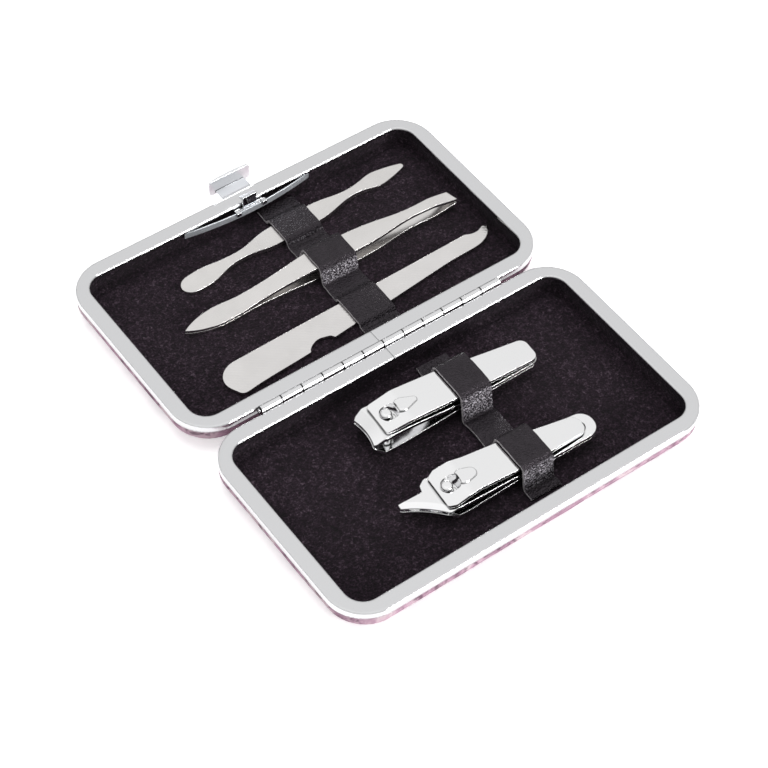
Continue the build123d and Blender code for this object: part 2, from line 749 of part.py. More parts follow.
def make_file(plane):
    """Nail file: knife-shaped blade, cleaning notch in its edge, hooked tip."""
    with BuildPart() as blade:
        with BuildSketch(plane):
            with BuildLine():
                round_end = Spline(*file_end, tangents=((-1, 0), (1, 0.1)))
                belly = Spline(round_end @ 1, *file_belly)
                notch = Spline(belly @ 1, *file_notch, tangents=((0.4, 1), (0.5, -1)))
                edge = Line(notch @ 1, file_edge)
                hook = Spline(edge @ 1, *file_hook, tangents=((1, 0.05), (0.1, 1)))
                tip = Spline(hook @ 1, *file_tip, tangents=((0.1, 1), (-1, -0.2)))
                hollow = Spline(tip @ 1, *file_hollow, tangents=((-1, -0.2), (-1, 0.3)))
                Line(hollow @ 1, round_end @ 0)
            make_face()
        extrude(amount=file_thickness)
    save(blade, "nail_file")


# ---------------------------------------------------------------- straps
def strap_plane(x, turn):
    """Upright plane along a strap: x from the hinge line towards the rear, y up."""
    return Plane(
        origin=(x, hinge_y, floor_z),
        x_dir=(sin(radians(turn)), cos(radians(turn)), 0),
        z_dir=(cos(radians(turn)), -sin(radians(turn)), 0),
    )


def make_strap(name, plane, width, points):
    """One leather strip: down on the lining between tools, up and over each tool."""
    radii = [strap_shoulder if height > 2 * strap_shoulder else strap_bend for _, height in points[1:-1]]
    with BuildPart() as strap:
        with BuildSketch(plane):
            with BuildLine():
                FilletPolyline(*points, radius=radii)
                offset(amount=strap_thickness, side=Side.LEFT)
            make_face()
        extrude(amount=width / 2, both=True)
    save(strap, name)


def loop_over(start, angle, plan, top, lean, strap):
    """Strap's inner path over one tool, from its low-y side to its high-y side."""
    x, turn, width = strap
    slope = tan(radians(angle))
    lows = []
    highs = []
    for across in (-width / 2, width / 2):
        edge_x = x + across * cos(radians(turn))
        meet = start[1] + (edge_x - start[0]) * slope + across * sin(radians(turn))
        middle = meet / (cos(radians(turn)) - slope * sin(radians(turn)))
        tool_x = edge_x + middle * sin(radians(turn))
        half_width = width_at(plan, (tool_x - start[0]) / cos(radians(angle)))
        lows.append(middle - half_width)
        highs.append(middle + half_width)
    low = min(lows) - strap_side_gap
    high = max(highs) + strap_side_gap
    height = top + strap_gap
    return [(low - lean, fit_gap), (low, height), (high, height), (high + lean, fit_gap)]


# ---------------------------------------------------------------- build
for half_name, side, first_knuckle in (("front", FRONT, 0), ("rear", REAR, 1)):
    make_frame(f"{half_name}_frame", side)
    make_skin(f"{half_name}_skin", side)
    make_tray(f"{half_name}_tray", side)
    make_lining_wall(f"{half_name}_lining_wall", side)
    make_lining_floor(f"{half_name}_lining_floor", side)
    make_leaf(f"{half_name}_hinge_leaf", side, first_knuckle)

make_pin()
make_clasp_stem()
make_clasp_cap()
make_clasp_spring()

make_clipper(
    "large",
    tool_plane(large_post, large_angle, large_height, large_tilt),
    (large_depth, large_low_depth),
    (large_open, large_rivet),
    large_edge,
    (large_blade_plan, large_blade_near, large_lever_plan),
    (large_blade_corner, large_lever_corner),
    large_lever_top,
    large_boss,
)
make_clipper(
    "small",
    tool_plane(small_post, small_angle, small_height, small_tilt),
    (small_depth, small_low_depth),
    (small_open, small_rivet),
    small_edge,
    (small_blade_plan, small_blade_near, small_lever_plan),
    (small_blade_corner, small_lever_corner),
    small_lever_top,
    small_boss,
)

make_pusher(tool_plane(pusher_start, pusher_angle, tool_rest))
make_tweezers(tool_plane(tweezers_start, tweezers_angle, tool_rest))
make_file(tool_plane(file_start, file_angle, tool_rest))

lip_in = gap_half + rim_land
front_strap = (front_strap_x, front_strap_turn, front_strap_width)
large_loop = loop_over(large_post, large_angle, large_blade_plan, large_strap_top, large_strap_lean, front_strap)
small_loop = loop_over(small_post, small_angle, small_blade_plan, small_strap_top, small_strap_lean, front_strap)
make_strap(
    "front_strap",
    strap_plane(front_strap_x, front_strap_turn),
    front_strap_width,
    [
        (front_strap_far - lip_out, fit_gap),
        *small_loop,
        *large_loop,
        (-lip_in - front_strap_near, fit_gap),
    ],
)

rear_strap = (rear_strap_x, rear_strap_turn, rear_strap_width)
file_loop = loop_over(
    (file_start[0], file_start[1] + file_middle), file_angle, file_strap_plan,
    file_thickness + tool_rest, file_strap_lean, rear_strap,
)
tweezers_loop = loop_over(
    tweezers_start, tweezers_angle, tweezers_strap_plan,
    tweezers_height + tool_rest, tweezers_strap_lean, rear_strap,
)
pusher_loop = loop_over(
    pusher_start, pusher_angle, pusher_strap_plan,
    pusher_thickness + tool_rest, pusher_strap_lean, rear_strap,
)
make_strap(
    "rear_strap",
    strap_plane(rear_strap_x, rear_strap_turn),
    rear_strap_width,
    [
        (lip_in + rear_strap_near, fit_gap),
        *file_loop,
        *tweezers_loop,
        *pusher_loop,
        (lip_out - rear_strap_far, fit_gap),
    ],
)
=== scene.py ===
"""Looks of the manicure set case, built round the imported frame.

Lengths are in metres; only Strap and the short profile lists take millimetres.
"""

import math

import bmesh
import bpy
from mathutils import Matrix, Vector, noise


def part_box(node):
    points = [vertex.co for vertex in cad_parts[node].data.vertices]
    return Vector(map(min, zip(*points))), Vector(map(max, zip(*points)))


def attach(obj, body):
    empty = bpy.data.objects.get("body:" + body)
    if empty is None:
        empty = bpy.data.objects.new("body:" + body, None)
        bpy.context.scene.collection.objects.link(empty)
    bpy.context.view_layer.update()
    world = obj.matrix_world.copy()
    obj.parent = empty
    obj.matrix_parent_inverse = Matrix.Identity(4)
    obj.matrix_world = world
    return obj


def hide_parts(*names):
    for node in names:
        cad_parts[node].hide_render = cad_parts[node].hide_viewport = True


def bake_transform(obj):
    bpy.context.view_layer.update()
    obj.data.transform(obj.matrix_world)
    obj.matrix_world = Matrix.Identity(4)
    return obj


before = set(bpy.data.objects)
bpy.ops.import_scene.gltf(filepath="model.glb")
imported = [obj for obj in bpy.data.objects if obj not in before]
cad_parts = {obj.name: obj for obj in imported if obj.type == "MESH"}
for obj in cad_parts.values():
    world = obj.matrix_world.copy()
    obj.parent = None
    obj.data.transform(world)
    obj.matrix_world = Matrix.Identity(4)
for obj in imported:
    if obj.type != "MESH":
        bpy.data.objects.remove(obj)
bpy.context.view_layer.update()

MM = 0.001
SIDES = {"front": -1, "rear": 1}

# ---- camera, in the part's frame ----
CAMERA_AT = Vector((-0.22595, -0.30034, 0.45269))
CAMERA_LOOK = Vector((0.38185, 0.50050, -0.77697))
CAMERA_ROLL = math.radians(-1.777)
CAMERA_LENS = 103.96
SENSOR_WIDTH = 36.0

# ---- sizes read from the frame ----
rim_low = {half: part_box(f"{half}_frame")[0] for half in SIDES}
rim_high = {half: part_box(f"{half}_frame")[1] for half in SIDES}
rim_top = rim_high["front"].z
rim_length = rim_high["front"].x - rim_low["front"].x
rim_width = rim_high["front"].y - rim_low["front"].y
lining_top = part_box("front_lining_floor")[1].z
flange_bottom = rim_low["front"].z
hinge_y = (rim_high["front"].y + rim_low["rear"].y) / 2

# ---- details of the chromed frames and of the hinge ----
RIM_CORNER = 11.5 * MM
RIM_LAND = 4.45 * MM
OPENING_CORNER = 5.4 * MM
HINGE_LENGTH = 77.0 * MM
KNUCKLES = 12
KNUCKLE_GAP = 0.12 * MM
KNUCKLE_PITCH = (HINGE_LENGTH + KNUCKLE_GAP) / KNUCKLES
opening_width = rim_width - 2 * RIM_LAND

# ---- outlines seen from above: length, width, corner radius ----
RIM = (rim_length, rim_width, RIM_CORNER)
OPENING = (rim_length - 2 * RIM_LAND, opening_width, OPENING_CORNER)
SMALLEST_CORNER = 0.05 * MM

# ---- soft unevenness: (height, size, seed) of each smooth random wave ----
SKIN_WAVES = ((0.16 * MM, 11 * MM, 3.1), (0.07 * MM, 4 * MM, 8.2))
BAND_WAVES = ((0.10 * MM, 7 * MM, 1.3), (0.05 * MM, 2.5 * MM, 5.5))
PAD_WAVES = ((0.06 * MM, 12 * MM, 2.2),)
STRAP_WAVES = ((0.07 * MM, 3 * MM, 6.3),)
STRAP_EDGE_WAVES = {-1: ((0.14 * MM, 2.8 * MM, 9.1),), 1: ((0.14 * MM, 2.8 * MM, 4.4),)}
STITCH_WAVES = ((0.12 * MM, 1 * MM, 2.0),)

# ---- straps and their stitches ----
STRAP_THICKNESS = 0.8 * MM
STRAP_BEND = 1.25 * MM
STRAP_STEP = 0.4 * MM
STRAP_SOFT_EDGE = 0.16 * MM
STRAP_STIFF_SHARE = 0.9
STITCH_PITCH = 1.7 * MM
STITCH_LENGTH = 1.2 * MM
STITCH_RADIUS = 0.16 * MM
STITCH_MARGIN = 0.8 * MM
STITCH_HEIGHT = 0.78 * STRAP_THICKNESS
PINCH_REACH = 1.1 * MM
PINCH_MEAN = 0.30
PINCH_SWING = 0.16

# ---- the clasp's leaf spring ----
SPRING_SHEET = 0.3 * MM
SPRING_BOW = 2.0 * MM
SPRING_HALF = 20.5 * MM

scene = bpy.context.scene
scene.view_settings.view_transform = "Standard"


# ---------------------------------------------------------------- helpers
def centre_of(half):
    """Middle of one half, at table height."""
    middle = (rim_low[half] + rim_high[half]) / 2
    return Vector((middle.x, middle.y, 0))


def link(obj):
    scene.collection.objects.link(obj)
    return obj


def show(mesh, material, smooth=True):
    """Puts a mesh in the scene, as an object of the mesh's own name."""
    for face in mesh.polygons:
        face.use_smooth = smooth
    mesh.materials.append(material)
    return link(bpy.data.objects.new(mesh.name, mesh))


def mesh_piece(name, points, faces, material, smooth=True):
    mesh = bpy.data.meshes.new(name)
    mesh.from_pydata([tuple(p) for p in points], [], faces)
    mesh.validate()
    mesh.update()
    return show(mesh, material, smooth)


def tube_faces(loops, count):
    """Faces between each closed loop of count points and the next."""
    faces = []
    for level in range(loops - 1):
        for index in range(count):
            a = level * count + index
            b = level * count + (index + 1) % count
            faces.append((a, b, b + count, a + count))
    return faces


def first_face(count):
    return tuple(reversed(range(count)))


def last_face(loops, count):
    return tuple(range((loops - 1) * count, loops * count))


def ring(length, width, corner, step):
    """Points round a rounded rectangle, with their outward directions.

    Their number comes from the rim and the step alone, so that rings of one step can be joined.
    """
    corner = max(corner, SMALLEST_CORNER)
    half_x = length / 2 - corner
    half_y = width / 2 - corner
    around = []
    corners = ((half_x, half_y, 0), (-half_x, half_y, 90), (-half_x, -half_y, 180), (half_x, -half_y, 270))
    turn_steps = max(6, round(math.pi / 2 * RIM_CORNER / step))
    for index, (x, y, start) in enumerate(corners):
        for turn in range(turn_steps + 1):
            angle = math.radians(start + 90 * turn / turn_steps)
            out = Vector((math.cos(angle), math.sin(angle), 0))
            around.append((Vector((x, y, 0)) + out * corner, out))
        x_next, y_next, _ = corners[(index + 1) % 4]
        straight_length = rim_length if index % 2 == 0 else rim_width
        straight_steps = round(straight_length / step)
        for along in range(1, straight_steps):
            share = along / straight_steps
            place = Vector((x, y, 0)).lerp(Vector((x_next, y_next, 0)), share)
            around.append((place + out * corner, out))
    return around


def shell(name, half, outline, profile, material, wobble, step, cap):
    """Surface through rings that follow a profile of (outset, height); wobble moves its points."""
    length, width, corner = outline
    points = []
    for outset, height in profile:
        loop = ring(length + 2 * outset, width + 2 * outset, corner + outset, step)
        for place, out in loop:
            at = place + Vector((0, 0, height))
            points.append(centre_of(half) + at + wobble(at, out))
    count = len(points) // len(profile)
    faces = tube_faces(len(profile), count)
    if cap:
        faces.append(last_face(len(profile), count))
    return mesh_piece(name, points, faces, material)


def ripples(at, waves):
    """Sum of smooth random waves at a place; each seed looks at another part of the noise."""
    total = 0.0
    for height, size, seed in waves:
        shift = Vector((seed, seed * 1.7, seed * 0.3))
        total += height * noise.noise(Vector(at) / size + shift)
    return total


# ---------------------------------------------------------------- nodes
# numbers of the Mix node's colour sockets, whose names it has several times
MIX_FIRST, MIX_SECOND, MIX_RESULT = 6, 7, 2
# a wave texture of scale 1 turns by this many radians per unit
WAVE_RATE = 20


def with_alpha(colour):
    return colour if isinstance(colour, bpy.types.NodeSocket) else (*colour, 1)


class Nodes:
    """A node tree, with short calls to add and join nodes."""

    def __init__(self, tree):
        self.tree = tree

    def feed(self, socket, value):
        if isinstance(value, bpy.types.NodeSocket):
            self.tree.links.new(value, socket)
        else:
            socket.default_value = value

    def add(self, kind, inputs=None, **settings):
        """Adds a node with its settings, then feeds its inputs by name or number."""
        made = self.tree.nodes.new(f"ShaderNode{kind}")
        for name, value in settings.items():
            setattr(made, name, value)
        for name, value in (inputs or {}).items():
            self.feed(made.inputs[name], value)
        return made

    def math(self, operation, a, b=0.0):
        return self.add("Math", {0: a, 1: b}, operation=operation).outputs[0]

    def span(self, value, low, high, to_low=0.0, to_high=1.0):
        """Takes low..high to to_low..to_high, and stops there."""
        ends = {"From Min": low, "From Max": high, "To Min": to_low, "To Max": to_high}
        return self.add("MapRange", {"Value": value, **ends}).outputs["Result"]

    def colours(self, value, *stops):
        made = self.add("ValToRGB", {"Fac": value})
        ramp = made.color_ramp
        while len(ramp.elements) < len(stops):
            ramp.elements.new(0.5)
        for element, (position, colour) in zip(ramp.elements, stops):
            element.position = position
            element.color = (*colour, 1)
        return made.outputs["Color"]

    def mix(self, share, first, second):
        """The first colour where share is 0, the second where it is 1."""
        inputs = {"Factor": share, MIX_FIRST: with_alpha(first), MIX_SECOND: with_alpha(second)}
        return self.add("Mix", inputs, data_type="RGBA").outputs[MIX_RESULT]

    def axis(self, vector, name):
        return self.add("SeparateXYZ", {0: vector}).outputs[name]

    def mirrored(self, rays):
        """1 for rays that metal or glass has turned."""
        return self.math("MAXIMUM", rays["Is Glossy Ray"], rays["Is Transmission Ray"])


class Shader(Nodes):
    """A new material with one Principled shader; its patterns lie in the object's own space."""

    def __init__(self, name):
        self.material = bpy.data.materials.new(name)
        self.material.use_nodes = True
        super().__init__(self.material.node_tree)
        self.bsdf = self.tree.nodes["Principled BSDF"]
        self.place = self.add("TexCoord").outputs["Object"]

    def set(self, **values):
        names = {key.replace("_", " "): key for key in values}
        for socket in self.bsdf.inputs:
            if socket.name.lower() in names:
                self.feed(socket, values[names[socket.name.lower()]])

    def stretch(self, scale, turn=0.0):
        inputs = {"Vector": self.place, "Scale": scale, "Rotation": (0, 0, turn)}
        return self.add("Mapping", inputs).outputs["Vector"]

    def noise(self, size, detail=3.0, roughness=0.5, distortion=0.0, place=None):
        inputs = {
            "Vector": place or self.place,
            "Scale": 1 / size,
            "Detail": detail,
            "Roughness": roughness,
            "Distortion": distortion,
        }
        return self.add("TexNoise", inputs).outputs["Fac"]

    def cells(self, size):
        return self.add("TexVoronoi", {"Vector": self.place, "Scale": 1 / size}).outputs["Distance"]

    def lines(self, pitch, turn):
        """Fine even grooves, turned in the object's x-y plane."""
        inputs = {"Vector": self.stretch((1, 1, 1), turn), "Scale": 2 * math.pi / WAVE_RATE / pitch}
        return self.add("TexWave", inputs, bands_direction="X").outputs["Fac"]

    def bump(self, height, distance, normal=None):
        inputs = {"Height": height, "Distance": distance}
        if normal is not None:
            inputs["Normal"] = normal
        return self.add("Bump", inputs).outputs["Normal"]

    def openness(self, distance):
        """1 in the open, lower in a crevice."""
        return self.add("AmbientOcclusion", {"Distance": distance}, samples=12).outputs["AO"]

    def steepness(self):
        """0 on a level face, 1 on an upright one, in the object's own frame."""
        normal = self.add("TexCoord").outputs["Normal"]
        return self.math("SUBTRACT", 1.0, self.math("ABSOLUTE", self.axis(normal, "Z")))

    def rounded(self, radius):
        return self.add("Bevel", {"Radius": radius}, samples=6).outputs["Normal"]


# ---------------------------------------------------------------- materials
def off_joints(shader, first, pitch, half_line):
    """0 on dark lines across the x axis, where knuckles meet, and 1 between them."""
    pitches = shader.math("DIVIDE", shader.math("SUBTRACT", shader.axis(shader.place, "X"), first), pitch)
    past = shader.math("FRACT", shader.math("ADD", pitches, 0.5))
    away = shader.math("ABSOLUTE", shader.math("SUBTRACT", past, 0.5))
    line = half_line / pitch
    return shader.span(away, 0.7 * line, 1.3 * line)


def make_chrome(name, colour, edge_round, wave, wave_size, dull, crevice, joints=None):
    """Bright plate: faint waves and hairlines, with painted shade that darkens its colour in crevices.

    dull is its least roughness; joints is (first, pitch, half width) of a hinge's dark lines.
    """
    shader = Shader(name)
    # painted shade: where ambient occlusion finds cover within crevice, the colour goes to near black; the
    # hinge's dark joint lines are multiplied in
    unshaded_between_joints = shader.span(shader.openness(crevice), 0.38, 0.80)
    if joints:
        unshaded_between_joints = shader.math("MULTIPLY", unshaded_between_joints, off_joints(shader, *joints))
    smears = shader.noise(5 * MM, detail=4)
    hairlines = shader.noise(0.25 * MM, detail=2, place=shader.stretch((1, 0.05, 0.3), 0.4))
    smeared = shader.span(smears, 0.3, 0.75, dull, dull + 0.06)
    scratched = shader.span(hairlines, 0.55, 0.75, 0.0, 0.04)
    waves = shader.bump(shader.noise(wave_size, detail=1), wave, shader.rounded(edge_round))
    shader.set(
        # near black painted shade in crevices and on joint lines, the plate's colour elsewhere
        base_color=shader.mix(unshaded_between_joints, tuple(c * 0.04 for c in colour), colour),
        metallic=1.0,
        roughness=shader.math("ADD", smeared, scratched),
        normal=shader.bump(hairlines, 0.0006 * MM, waves),
    )
    return shader.material


def make_steel(name, colour, teeth=None):
    """Satin stainless steel, ground along the x axis; teeth is the pitch of a file's crossed cuts."""
    shader = Shader(name)
    grain = shader.noise(0.12 * MM, detail=3, place=shader.stretch((0.02, 1, 1)))
    cloud = shader.noise(7 * MM, detail=3)
    face = shader.bump(cloud, 0.10 * MM, shader.rounded(0.3 * MM))
    if teeth:
        cuts = shader.math("MULTIPLY", shader.lines(teeth, 0.9), shader.lines(teeth, -0.9))
        face = shader.bump(cuts, 0.02 * MM, face)
    shader.set(
        base_color=shader.mix(shader.span(cloud, 0.3, 0.7), colour, tuple(c * 0.94 for c in colour)),
        metallic=1.0,
        roughness=shader.span(grain, 0.3, 0.7, 0.24, 0.27),
        normal=shader.bump(grain, 0.0003 * MM, face),
    )
    return shader.material


def make_lining():
    """Black cloth with a short brushed nap."""
    shader = Shader("black_nap_lining")
    strands = shader.noise(0.55 * MM, detail=3, roughness=0.7, distortion=0.6)
    clumps = shader.noise(1.3 * MM, detail=2, roughness=0.6, distortion=0.8)
    drift = shader.noise(11 * MM, detail=2, distortion=0.5)
    height = shader.math("ADD", shader.math("MULTIPLY", strands, 0.75), shader.math("MULTIPLY", clumps, 0.4))
    tone = shader.math("ADD", shader.math("MULTIPLY", height, 0.85), shader.math("MULTIPLY", drift, 0.12))
    shader.set(
        base_color=shader.colours(
            tone,
            (0.42, (0.0006, 0.0002, 0.0005)),
            (0.53, (0.0068, 0.0028, 0.0060)),
            (0.62, (0.024, 0.014, 0.022)),
            (0.74, (0.105, 0.078, 0.100)),
        ),
        roughness=0.88,
        sheen_weight=0.07,
        sheen_roughness=0.45,
        sheen_tint=(0.75, 0.66, 0.78, 1),
        specular_ior_level=0.3,
        normal=shader.bump(height, 0.5 * MM, shader.bump(drift, 0.8 * MM)),
    )
    return shader.material


def make_leather():
    """Black coated strap leather: pebbled grain, with painted glints of pale flecks where the strap is
    steep.
    """
    shader = Shader("black_strap_leather")
    pebbles = shader.cells(0.5 * MM)
    fine = shader.noise(0.24 * MM, detail=3)
    soft = shader.noise(5 * MM, detail=2)
    grain = shader.math("ADD", shader.math("MULTIPLY", pebbles, -0.9), shader.math("MULTIPLY", fine, 0.35))
    # painted glints: pale flecks on the steep faces stand for light sparkling off the grain
    painted_glints = shader.span(shader.noise(0.42 * MM, detail=3, roughness=0.75), 0.50, 0.60)
    bent = shader.span(shader.steepness(), 0.35, 0.75)
    dark = shader.colours(soft, (0.3, (0.006, 0.005, 0.006)), (0.7, (0.012, 0.010, 0.012)))
    shader.set(
        base_color=shader.mix(shader.math("MULTIPLY", painted_glints, bent), dark, (0.70, 0.66, 0.72)),
        roughness=shader.span(fine, 0.3, 0.7, 0.22, 0.36),
        specular_ior_level=0.5,
        specular_tint=(1.0, 0.88, 1.0, 1),
        normal=shader.bump(grain, 0.3 * MM, shader.bump(soft, 0.25 * MM)),
    )
    return shader.material


def make_skin_cloth():
    """Coated cloth with a soft marbled print in mauve, rose and cream."""
    shader = Shader("marbled_cloth")
    warp = shader.noise(26 * MM, detail=4, roughness=0.55, distortion=2.6)
    veins = shader.noise(9 * MM, detail=5, roughness=0.6, distortion=3.4)
    flecks = shader.noise(1.3 * MM, detail=4, roughness=0.7)
    ground = shader.colours(
        warp,
        (0.30, (0.16, 0.075, 0.12)),
        (0.43, (0.40, 0.235, 0.32)),
        (0.52, (0.56, 0.36, 0.46)),
        (0.60, (0.72, 0.58, 0.62)),
        (0.72, (0.47, 0.30, 0.40)),
    )
    marbled = shader.mix(shader.span(veins, 0.53, 0.62, 0.0, 0.75), ground, (0.10, 0.045, 0.075))
    printed = shader.mix(shader.span(flecks, 0.56, 0.72, 0.0, 0.5), marbled, (0.78, 0.66, 0.68))
    across = shader.noise(0.22 * MM, detail=1, place=shader.stretch((1, 0.3, 1)))
    along = shader.noise(0.22 * MM, detail=1, place=shader.stretch((0.3, 1, 1)))
    padding = shader.bump(shader.noise(6 * MM, detail=2), 0.25 * MM)
    shader.set(
        base_color=printed,
        roughness=shader.span(flecks, 0.3, 0.7, 0.56, 0.68),
        specular_ior_level=0.25,
        normal=shader.bump(shader.math("ADD", across, along), 0.03 * MM, padding),
    )
    return shader.material


def make_speckled(name, size, detail, dark, pale, roughness, relief):
    """Dull fibrous stuff: one fine noise gives its relief and, between two stops, its colour."""
    shader = Shader(name)
    fibre = shader.noise(size, detail=detail)
    shader.set(
        base_color=shader.colours(fibre, dark, pale),
        roughness=roughness,
        normal=shader.bump(fibre, relief),
    )
    return shader.material


rim_chrome = make_chrome(
    "rim_chrome", (0.755, 0.757, 0.768),
    edge_round=0.9 * MM, wave=0.05 * MM, wave_size=14 * MM, dull=0.05, crevice=0.9 * MM,
)
hinge_chrome = make_chrome(
    "hinge_chrome", (0.80, 0.80, 0.81),
    edge_round=0.1 * MM, wave=0.008 * MM, wave_size=5 * MM, dull=0.12, crevice=0.9 * MM,
    joints=(-HINGE_LENGTH / 2, KNUCKLE_PITCH, 0.2 * MM),
)
clasp_chrome = make_chrome(
    "clasp_chrome", (0.72, 0.73, 0.75),
    edge_round=0.25 * MM, wave=0.008 * MM, wave_size=4 * MM, dull=0.05, crevice=0.4 * MM,
)
button_chrome = make_chrome(
    "button_chrome", (0.95, 0.96, 0.98),
    edge_round=0.4 * MM, wave=0.008 * MM, wave_size=4 * MM, dull=0.3, crevice=0.4 * MM,
)
clipper_chrome = make_chrome(
    "clipper_chrome", (0.95, 0.95, 0.955),
    edge_round=0.3 * MM, wave=0.004 * MM, wave_size=9 * MM, dull=0.04, crevice=1.0 * MM,
)
spring_steel = make_chrome(
    "spring_steel", (0.92, 0.96, 1.0),
    edge_round=0.15 * MM, wave=0.004 * MM, wave_size=6 * MM, dull=0.5, crevice=0.2 * MM,
)
tool_steel = make_steel("tool_steel", (0.83, 0.81, 0.795))
file_steel = make_steel("file_steel", (0.83, 0.81, 0.80), teeth=0.9 * MM)
lining = make_lining()
leather = make_leather()
skin_cloth = make_skin_cloth()
cut_edge = make_speckled(
    "strap_cut_edge", 0.3 * MM, 4,
    dark=(0.35, (0.05, 0.045, 0.05)), pale=(0.55, (0.52, 0.49, 0.51)), roughness=0.8, relief=0.1 * MM,
)
thread = make_speckled(
    "black_thread", 0.15 * MM, 2,
    dark=(0.3, (0.006, 0.005, 0.006)), pale=(0.7, (0.02, 0.017, 0.02)), roughness=0.6, relief=0.05 * MM,
)
board = make_speckled(
    "grey_board", 0.8 * MM, 5,
    dark=(0.3, (0.16, 0.14, 0.11)), pale=(0.7, (0.30, 0.26, 0.21)), roughness=0.9, relief=0.05 * MM,
)


def paint(material, *names):
    """Gives CAD nodes a material in place of their own."""
    for name in names:
        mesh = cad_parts[name].data
        mesh.materials.clear()
        mesh.materials.append(material)


for half in SIDES:
    paint(rim_chrome, f"{half}_frame")
    paint(hinge_chrome, f"{half}_hinge_leaf")
    paint(board, f"{half}_tray")
paint(hinge_chrome, "hinge_pin")
paint(clasp_chrome, "clasp_stem")
paint(button_chrome, "clasp_cap")
for size in ("large", "small"):
    for piece in ("lower_blade", "upper_blade", "rivet", "post", "lever"):
        paint(clipper_chrome, f"{size}_{piece}")
paint(tool_steel, "cuticle_pusher", "tweezers_lower_arm", "tweezers_upper_arm")
paint(file_steel, "nail_file")


# ---------------------------------------------------------------- skins
def make_skin(half):
    """Cloth over the shell: tucked under the flange, softly padded, flat where it stands."""
    padded_above = 3 * MM

    def wobble(at, out):
        lift = max(0.0, min(1.0, at.z / padded_above))
        return out * ripples(at, SKIN_WAVES) * lift

    hem = ((-0.95, 1.2), (-0.62, 0.6), (-0.56, 0.02), (-0.30, -0.22), (-0.10, -0.7), (-0.02, -1.3),
           (-0.10, -2.0), (-0.45, -2.9))
    profile = [(outset * MM, flange_bottom + rise * MM) for outset, rise in hem]
    bend_inset = 0.62 * MM
    bend_centre_inset = 4.9 * MM
    bend_height = 4.2 * MM
    bend_steps = 7
    for turn in range(1, bend_steps + 1):
        angle = math.radians(90 * turn / bend_steps)
        reach = (bend_centre_inset - bend_inset) * math.cos(angle)
        profile.append((reach - bend_centre_inset, bend_height - bend_height * math.sin(angle)))
    for inset in (8, 14, 22, 30):
        profile.append((-inset * MM, 0.0))
    piece = shell(f"{half}_skin_cloth", half, RIM, profile, skin_cloth, wobble, step=1.6 * MM, cap=True)
    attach(piece, f"{half}_half")
    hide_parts(f"{half}_skin")


# ---------------------------------------------------------------- linings
def make_lining_wall(half):
    """Padded band behind the lip, rolling on to the floor."""
    pocket_half = {"front": 4.0 * MM, "rear": 21.5 * MM}[half]
    pocket_depth = 0.6 * MM
    pocket_bottom = lining_top + 0.8 * MM
    pocket_wall = opening_width / 2 - 1.0 * MM

    def wobble(at, out):
        puff = ripples(at, BAND_WAVES)
        at_clasp = SIDES[half] * at.y > pocket_wall and abs(at.x) < pocket_half
        if at_clasp and at.z > pocket_bottom:
            puff += pocket_depth
        return out * puff

    below_rim = ((0.30, 0.58), (0.58, 0.9), (0.60, 1.6), (0.58, 2.4), (0.60, 3.2), (0.64, 4.0), (0.68, 4.7))
    over_floor = ((0.66, 0.22), (0.42, 0.02), (0.0, -0.05), (-0.70, -0.12), (-1.30, -0.35))
    profile = [(outset * MM, rim_top - drop * MM) for outset, drop in below_rim]
    profile += [(outset * MM, lining_top + rise * MM) for outset, rise in over_floor]
    piece = shell(f"{half}_lining_band", half, OPENING, profile, lining, wobble, step=1.1 * MM, cap=False)
    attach(piece, f"{half}_half")
    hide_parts(f"{half}_lining_wall")


def make_lining_floor(half):
    """Floor pad, a little slack and sunk at its seam; its highest places stay at the CAD pad's face."""
    mean_dip = PAD_WAVES[0][0]

    def wobble(at, out):
        return Vector((0, 0, -mean_dip - ripples(at, PAD_WAVES)))

    seam = ((-0.9, 0.5), (-1.15, 0.12), (-1.7, 0.0))
    profile = [(outset * MM, lining_top - drop * MM) for outset, drop in seam]
    inset = 3.0 * MM
    ring_gap = 1.6 * MM
    while inset < opening_width / 2 - 1.5 * MM:
        profile.append((-inset, lining_top))
        inset += ring_gap
    piece = shell(f"{half}_lining_pad", half, OPENING, profile, lining, wobble, step=1.6 * MM, cap=True)
    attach(piece, f"{half}_half")
    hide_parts(f"{half}_lining_floor")


# ---------------------------------------------------------------- straps
class Strap:
    """Where a strap lies, in millimetres: its line over the floor of one half, its inner path.

    at_hinge and turn place the line, path is (along, height) and rows are its lines of stitches.
    """

    def __init__(self, half, at_hinge, turn, width, path, rows):
        self.half = half
        self.node = f"{half}_strap"
        self.at_hinge = at_hinge * MM
        self.turn = math.radians(turn)
        self.width = width * MM
        self.points = [Vector((0, along * MM, lining_top + height * MM)) for along, height in path]
        self.rows = [row * MM for row in rows]

    def place(self, across, along, height):
        """Point across the strap's line and along it from the hinge, in the part's frame."""
        x = self.at_hinge + along * math.sin(self.turn) + across * math.cos(self.turn)
        y = hinge_y + along * math.cos(self.turn) - across * math.sin(self.turn)
        return Vector((x, y, height))


def rounded_path(points, radius, step):
    """Evenly spaced points along a path of straight runs joined by bends, in the y-z plane."""
    bend_steps = 8
    most_of_run = 0.48
    dense = [points[0]]
    for before, corner, after in zip(points, points[1:], points[2:]):
        towards = (before - corner).normalized()
        onwards = (after - corner).normalized()
        half_angle = towards.angle(onwards) / 2
        shorter_run = min((before - corner).length, (after - corner).length)
        cut = min(radius / math.tan(half_angle), most_of_run * shorter_run)
        start = corner + towards * cut
        end = corner + onwards * cut
        for index in range(bend_steps + 1):
            share = index / bend_steps
            dense.append(start * (1 - share) ** 2 + corner * 2 * share * (1 - share) + end * share ** 2)
    dense.append(points[-1])
    even = [dense[0]]
    left_over = 0.0
    for start, end in zip(dense, dense[1:]):
        run = (end - start).length
        at = step - left_over
        while at < run:
            even.append(start.lerp(end, at / run))
            at += step
        left_over = (left_over + run) % step
    even.append(dense[-1])
    return even


